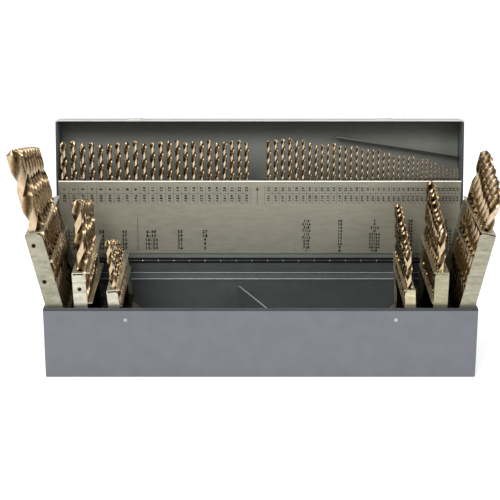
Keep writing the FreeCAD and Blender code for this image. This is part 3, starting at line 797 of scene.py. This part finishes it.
edges = [number_spots[0][0] - FIRST_MARGIN]
for (x, radius), (next_x, next_radius) in zip(number_spots, number_spots[1:]):
    edges.append((x + radius + next_x - next_radius) / 2)
edges.append(number_spots[-1][0] + LAST_MARGIN)
for number, ((x, radius), decimal) in enumerate(zip(number_spots, DECIMALS), start=1):
    shrink = next(scale for end, scale in SHRINKS if number < end)
    put_text(str(number), x, NUMBER_ROW, NUMBER_HEIGHT * shrink, upright=False)
    put_text("." + decimal, x, DECIMAL_ROW, DECIMAL_HEIGHT * shrink, upright=False)
    left = x - MARGIN_AFTER_GAP if number == LAST_BEFORE_GAP + 1 else edges[number - 1]
    right = x + MARGIN_BEFORE_GAP if number == LAST_BEFORE_GAP else edges[number]
    for edge in (left, right):
        upright_line(edge, CELL_FOOT, CELL_TOP, HAIRLINE)
    put_bar(left, CELL_LINE - HAIRLINE, right, CELL_LINE + HAIRLINE)


# Arrow to the spare hole

ARROW_X = px_x(257.4)
SHAFT_FOOT = px_z(204)
SHAFT_TOP = px_z(188)
HEAD_FOOT = px_z(190.2)
HEAD_TIP = px_z(186.6)
LINE_HALF = 0.2 * MM
HEAD_HALF = 1.3 * MM
upright_line(ARROW_X, SHAFT_FOOT, SHAFT_TOP, LINE_HALF)
chart_shape.add([(ARROW_X - HEAD_HALF, PRINT_Y, HEAD_FOOT), (ARROW_X + HEAD_HALF, PRINT_Y, HEAD_FOOT),
                 (ARROW_X, PRINT_Y, HEAD_TIP)], [(0, 1, 2)])


# Lower tables of the chart: the photo's pixel column of each, and its entries from the top

def put_columns(columns, first_row, row_step, height):
    for px, column in columns.items():
        for row, text in enumerate(column.split()):
            put_text(text, px_x(px), px_z(first_row + row_step * row), height, pitch=TABLE_PITCH)


LEFT_COLUMNS = {71: "2-56 3-48 4-40 5-40 6-32", 100: "50 46 43 38 36", 123.1: "43 37 32 30 27",
                150.2: "6-40 8-32 10-24 10-32 12-24", 179.3: "33 29 25 21 16", 204.5: "27 18 9 9 2"}
RIGHT_COLUMNS = {307: "1/4 5/16 3/8 7/16 1/2 9/16 5/8 3/4 7/8 1", 341: "20 18 16 14 13 12 11 10 9 8",
                 376: "7 F 5/16 U 27/64 31/64 17/32 21/32 49/64 7/8", 412: "28 24 24 20 20 18 18 16 14 14",
                 448: "3 I Q 25/64 29/64 33/64 37/64 11/16 13/16 15/16"}
RULE_X = px_x(136.6)
RULE_FOOT = px_z(250)
RULE_TOP = px_z(218)
put_columns(LEFT_COLUMNS, first_row=231.4, row_step=4.1, height=2.9 * MM)
upright_line(RULE_X, RULE_FOOT, RULE_TOP, LINE_HALF)
put_columns(RIGHT_COLUMNS, first_row=220.6, row_step=3.33, height=2.45 * MM)

chart = mesh_object("chart_print", chart_shape, INK)
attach(chart, "number_panel_body")


# Floor

FLOOR_SIZE = 12.0
FLOOR_DROP = 0.2 * MM
FLOOR_WHITE = (0.82, 0.82, 0.82, 1)
GLOW_REACH = (0.6, 2.0)  # distances between which the glow rises
GLOW = (0.55, 0.86)


def white_floor():
    """Floor that takes shadows and glows for the eye, a little more where the lamps don't reach."""
    bpy.ops.mesh.primitive_plane_add(size=FLOOR_SIZE, location=(0, 0, -FLOOR_DROP))
    floor = bpy.context.object
    floor.name = "floor"
    mat = bpy.data.materials.new("white_floor")
    mat.use_nodes = True
    tree = mat.node_tree
    tree.nodes.clear()
    out = tree.nodes.new("ShaderNodeOutputMaterial")
    diffuse = tree.nodes.new("ShaderNodeBsdfDiffuse")
    diffuse.inputs["Color"].default_value = FLOOR_WHITE
    distance = tree.nodes.new("ShaderNodeVectorMath")
    distance.operation = "LENGTH"
    tree.links.new(coordinates(tree, "Object"), distance.inputs[0])
    glow = map_range(tree, distance.outputs["Value"], *GLOW_REACH, *GLOW)
    paths = tree.nodes.new("ShaderNodeLightPath")
    seen = math_node(tree, "MAXIMUM", paths.outputs["Is Camera Ray"], paths.outputs["Is Glossy Ray"])
    seen = math_node(tree, "MAXIMUM", seen, paths.outputs["Is Transmission Ray"])
    emit = tree.nodes.new("ShaderNodeEmission")
    tree.links.new(math_node(tree, "MULTIPLY", seen, glow), emit.inputs["Strength"])
    add = tree.nodes.new("ShaderNodeAddShader")
    tree.links.new(diffuse.outputs["BSDF"], add.inputs[0])
    tree.links.new(emit.outputs["Emission"], add.inputs[1])
    tree.links.new(add.outputs["Shader"], out.inputs["Surface"])
    floor.data.materials.append(mat)


white_floor()


# Surroundings: dim for the light on the piece, white for the eye, half as white in reflections

AMBIENT = 0.31
MIRRORED_WHITE = 0.5

world = bpy.data.worlds.new("studio")
bpy.context.scene.world = world
world.use_nodes = True
tree = world.node_tree
tree.nodes.clear()
out = tree.nodes.new("ShaderNodeOutputWorld")
ambient = tree.nodes.new("ShaderNodeBackground")
ambient.inputs["Strength"].default_value = AMBIENT
white = tree.nodes.new("ShaderNodeBackground")
white.inputs["Color"].default_value = (1, 1, 1, 1)
white.inputs["Strength"].default_value = 1.0
paths = tree.nodes.new("ShaderNodeLightPath")
mix = tree.nodes.new("ShaderNodeMixShader")
glossy = math_node(tree, "MULTIPLY", paths.outputs["Is Glossy Ray"], MIRRORED_WHITE)
tree.links.new(math_node(tree, "MAXIMUM", paths.outputs["Is Camera Ray"], glossy), mix.inputs["Fac"])
tree.links.new(ambient.outputs["Background"], mix.inputs[1])
tree.links.new(white.outputs["Background"], mix.inputs[2])
tree.links.new(mix.outputs["Shader"], out.inputs["Surface"])


# Lamps

def softbox(name, location, target, size, power):
    data = bpy.data.lights.new(name, "AREA")
    data.shape = "RECTANGLE"
    data.size, data.size_y = size
    data.energy = power
    obj = bpy.data.objects.new(name, data)
    obj.location = location
    obj.rotation_euler = (Vector(target) - Vector(location)).to_track_quat("-Z", "Y").to_euler()
    bpy.context.scene.collection.objects.link(obj)


softbox("key", (-0.7, -1.3, 1.5), target=(0, 0, 0.08), size=(1.0, 0.8), power=28)
softbox("fill", (1.3, -1.1, 0.9), target=(0, 0, 0.08), size=(0.8, 0.8), power=9)
softbox("top", (0, 0.1, 1.6), target=(0, 0, 0.05), size=(1.2, 0.8), power=12)


# Camera, as fitted to the photo

FOCAL_LENGTH = 1480     # in pixels of the photo
SENSOR = 36
EYE = (-9.25 * MM, -1279.175 * MM, 515.4 * MM)
LOOKING_DOWN = 18.12

camera = bpy.data.cameras.new("camera")
camera.lens = FOCAL_LENGTH / PHOTO_SIZE * SENSOR
camera.sensor_width = SENSOR
camera.clip_start = 0.05
eye = bpy.data.objects.new("camera", camera)
eye.location = EYE
eye.rotation_euler = (math.radians(90 - LOOKING_DOWN), 0, 0)
bpy.context.scene.collection.objects.link(eye)
bpy.context.scene.camera = eye
bpy.context.scene.view_settings.view_transform = "Standard"
